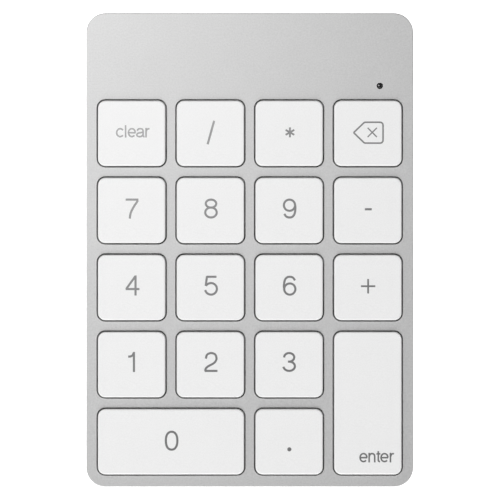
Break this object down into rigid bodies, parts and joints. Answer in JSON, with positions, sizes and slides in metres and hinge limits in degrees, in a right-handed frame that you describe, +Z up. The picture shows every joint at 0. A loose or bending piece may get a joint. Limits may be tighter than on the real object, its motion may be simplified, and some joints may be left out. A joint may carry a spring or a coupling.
{
  "type": "wireless numeric keypad",
  "caption": "Slim wedge-shaped metal numeric keypad with flat white island keys on scissor links, a wide zero key and a tall enter key.",
  "frame": {"origin": "on the desk plane, under the middle of the body's outline", "axes": "+X to the user's right, +Y away from the user towards the rear edge, +Z up"},
  "size_m": [0.0792, 0.1152, 0.011],
  "materials": {
    "body_metal": "fine bead-blasted, clear anodised silver",
    "key_plastic": "white moulded plastic, satin",
    "legend_ink": "grey printed legends",
    "link_plastic": "natural white acetal",
    "dome_rubber": "translucent silicone",
    "circuit_film": "clear film with printed silver tracks",
    "plate_steel": "plated steel sheet",
    "base_plastic": "white plastic, fine moulded grain",
    "foot_rubber": "grey silicone rubber",
    "screw_steel": "nickel plated",
    "board_green": "green solder mask",
    "cell_wrap": "silver pouch foil",
    "port_steel": "tin-plated steel shell",
    "black_plastic": "black moulded plastic",
    "lamp_plastic": "smoked clear plastic"
  },
  "bodies": {
    "base": {"battery": "cell_wrap", "bottom_cover": "base_plastic", "circuit_board": "board_green", "dome_sheet": "dome_rubber", "foot_front_left": "foot_rubber", "foot_front_right": "foot_rubber", "foot_rear_left": "foot_rubber", "foot_rear_right": "foot_rubber", "light_pipe": "lamp_plastic", "membrane_circuit": "circuit_film", "power_switch_housing": "black_plastic", "scissor_0": "link_plastic", "scissor_1": "link_plastic", "scissor_2": "link_plastic", "scissor_3": "link_plastic", "scissor_4": "link_plastic", "scissor_5": "link_plastic", "scissor_6": "link_plastic", "scissor_7": "link_plastic", "scissor_8": "link_plastic", "scissor_9": "link_plastic", "scissor_backspace": "link_plastic", "scissor_clear": "link_plastic", "scissor_decimal": "link_plastic", "scissor_divide": "link_plastic", "scissor_enter": "link_plastic", "scissor_minus": "link_plastic", "scissor_multiply": "link_plastic", "scissor_plus": "link_plastic", "screw_front_left": "screw_steel", "screw_front_right": "screw_steel", "screw_rear_left": "screw_steel", "screw_rear_right": "screw_steel", "support_plate": "plate_steel", "top_cover": "body_metal", "usb_socket": "port_steel", "usb_tongue": "black_plastic"},
    "key_clear": {"keycap_clear": "key_plastic"},
    "key_divide": {"keycap_divide": "key_plastic"},
    "key_multiply": {"keycap_multiply": "key_plastic"},
    "key_backspace": {"keycap_backspace": "key_plastic"},
    "key_7": {"keycap_7": "key_plastic"},
    "key_8": {"keycap_8": "key_plastic"},
    "key_9": {"keycap_9": "key_plastic"},
    "key_minus": {"keycap_minus": "key_plastic"},
    "key_4": {"keycap_4": "key_plastic"},
    "key_5": {"keycap_5": "key_plastic"},
    "key_6": {"keycap_6": "key_plastic"},
    "key_plus": {"keycap_plus": "key_plastic"},
    "key_1": {"keycap_1": "key_plastic"},
    "key_2": {"keycap_2": "key_plastic"},
    "key_3": {"keycap_3": "key_plastic"},
    "key_enter": {"keycap_enter": "key_plastic"},
    "key_0": {"keycap_0": "key_plastic"},
    "key_decimal": {"keycap_decimal": "key_plastic"},
    "power_switch": {"power_switch_slider": "black_plastic"},
    "pairing_key": {"pairing_button": "black_plastic"},
    "wire_0": {"stabilizer_0": "plate_steel"},
    "wire_enter": {"stabilizer_enter": "plate_steel"}
  },
  "joints": [
    {"name": "press_clear", "type": "slide", "parent": "base", "child": "key_clear", "axis": [0, 0.0436, -0.999], "range_m": [0, 0.0012], "stiffness_N_per_m": 220, "springref_m": -0.0012, "deforming": ["scissor_clear", "dome_sheet"]},
    {"name": "press_divide", "type": "slide", "parent": "base", "child": "key_divide", "axis": [0, 0.0436, -0.999], "range_m": [0, 0.0012], "stiffness_N_per_m": 220, "springref_m": -0.0012, "deforming": ["scissor_divide", "dome_sheet"]},
    {"name": "press_multiply", "type": "slide", "parent": "base", "child": "key_multiply", "axis": [0, 0.0436, -0.999], "range_m": [0, 0.0012], "stiffness_N_per_m": 220, "springref_m": -0.0012, "deforming": ["scissor_multiply", "dome_sheet"]},
    {"name": "press_backspace", "type": "slide", "parent": "base", "child": "key_backspace", "axis": [0, 0.0436, -0.999], "range_m": [0, 0.0012], "stiffness_N_per_m": 220, "springref_m": -0.0012, "deforming": ["scissor_backspace", "dome_sheet"]},
    {"name": "press_7", "type": "slide", "parent": "base", "child": "key_7", "axis": [0, 0.0436, -0.999], "range_m": [0, 0.0012], "stiffness_N_per_m": 220, "springref_m": -0.0012, "deforming": ["scissor_7", "dome_sheet"]},
    {"name": "press_8", "type": "slide", "parent": "base", "child": "key_8", "axis": [0, 0.0436, -0.999], "range_m": [0, 0.0012], "stiffness_N_per_m": 220, "springref_m": -0.0012, "deforming": ["scissor_8", "dome_sheet"]},
    {"name": "press_9", "type": "slide", "parent": "base", "child": "key_9", "axis": [0, 0.0436, -0.999], "range_m": [0, 0.0012], "stiffness_N_per_m": 220, "springref_m": -0.0012, "deforming": ["scissor_9", "dome_sheet"]},
    {"name": "press_minus", "type": "slide", "parent": "base", "child": "key_minus", "axis": [0, 0.0436, -0.999], "range_m": [0, 0.0012], "stiffness_N_per_m": 220, "springref_m": -0.0012, "deforming": ["scissor_minus", "dome_sheet"]},
    {"name": "press_4", "type": "slide", "parent": "base", "child": "key_4", "axis": [0, 0.0436, -0.999], "range_m": [0, 0.0012], "stiffness_N_per_m": 220, "springref_m": -0.0012, "deforming": ["scissor_4", "dome_sheet"]},
    {"name": "press_5", "type": "slide", "parent": "base", "child": "key_5", "axis": [0, 0.0436, -0.999], "range_m": [0, 0.0012], "stiffness_N_per_m": 220, "springref_m": -0.0012, "deforming": ["scissor_5", "dome_sheet"]},
    {"name": "press_6", "type": "slide", "parent": "base", "child": "key_6", "axis": [0, 0.0436, -0.999], "range_m": [0, 0.0012], "stiffness_N_per_m": 220, "springref_m": -0.0012, "deforming": ["scissor_6", "dome_sheet"]},
    {"name": "press_plus", "type": "slide", "parent": "base", "child": "key_plus", "axis": [0, 0.0436, -0.999], "range_m": [0, 0.0012], "stiffness_N_per_m": 220, "springref_m": -0.0012, "deforming": ["scissor_plus", "dome_sheet"]},
    {"name": "press_1", "type": "slide", "parent": "base", "child": "key_1", "axis": [0, 0.0436, -0.999], "range_m": [0, 0.0012], "stiffness_N_per_m": 220, "springref_m": -0.0012, "deforming": ["scissor_1", "dome_sheet"]},
    {"name": "press_2", "type": "slide", "parent": "base", "child": "key_2", "axis": [0, 0.0436, -0.999], "range_m": [0, 0.0012], "stiffness_N_per_m": 220, "springref_m": -0.0012, "deforming": ["scissor_2", "dome_sheet"]},
    {"name": "press_3", "type": "slide", "parent": "base", "child": "key_3", "axis": [0, 0.0436, -0.999], "range_m": [0, 0.0012], "stiffness_N_per_m": 220, "springref_m": -0.0012, "deforming": ["scissor_3", "dome_sheet"]},
    {"name": "press_enter", "type": "slide", "parent": "base", "child": "key_enter", "axis": [0, 0.0436, -0.999], "range_m": [0, 0.0012], "stiffness_N_per_m": 220, "springref_m": -0.0012, "deforming": ["scissor_enter", "dome_sheet"]},
    {"name": "press_0", "type": "slide", "parent": "base", "child": "key_0", "axis": [0, 0.0436, -0.999], "range_m": [0, 0.0012], "stiffness_N_per_m": 220, "springref_m": -0.0012, "deforming": ["scissor_0", "dome_sheet"]},
    {"name": "press_decimal", "type": "slide", "parent": "base", "child": "key_decimal", "axis": [0, 0.0436, -0.999], "range_m": [0, 0.0012], "stiffness_N_per_m": 220, "springref_m": -0.0012, "deforming": ["scissor_decimal", "dome_sheet"]},
    {"name": "power_switch_slide", "type": "slide", "parent": "base", "child": "power_switch", "axis": [1, 0, 0], "range_m": [0, 0.0025]},
    {"name": "pairing_button_press", "type": "slide", "parent": "base", "child": "pairing_key", "axis": [0, -0.999, -0.0436], "range_m": [0, 0.0004], "stiffness_N_per_m": 400, "springref_m": -0.0004},
    {"name": "wire_0_turn", "type": "hinge", "parent": "base", "child": "wire_0", "pos_m": [-0.01905, -0.05299, 0.00415], "axis": [-1, 0, 0], "range_deg": [0, 9.2]},
    {"name": "wire_enter_turn", "type": "hinge", "parent": "base", "child": "wire_enter", "pos_m": [0.02187, -0.03718, 0.00484], "axis": [0, 0.999, 0.0436], "range_deg": [0, 9.2]}
  ],
  "couplings": [
    {"joint": "wire_0_turn", "follows": "press_0", "rad_per_m": 132.14},
    {"joint": "wire_enter_turn", "follows": "press_enter", "rad_per_m": 132.14}
  ]
}
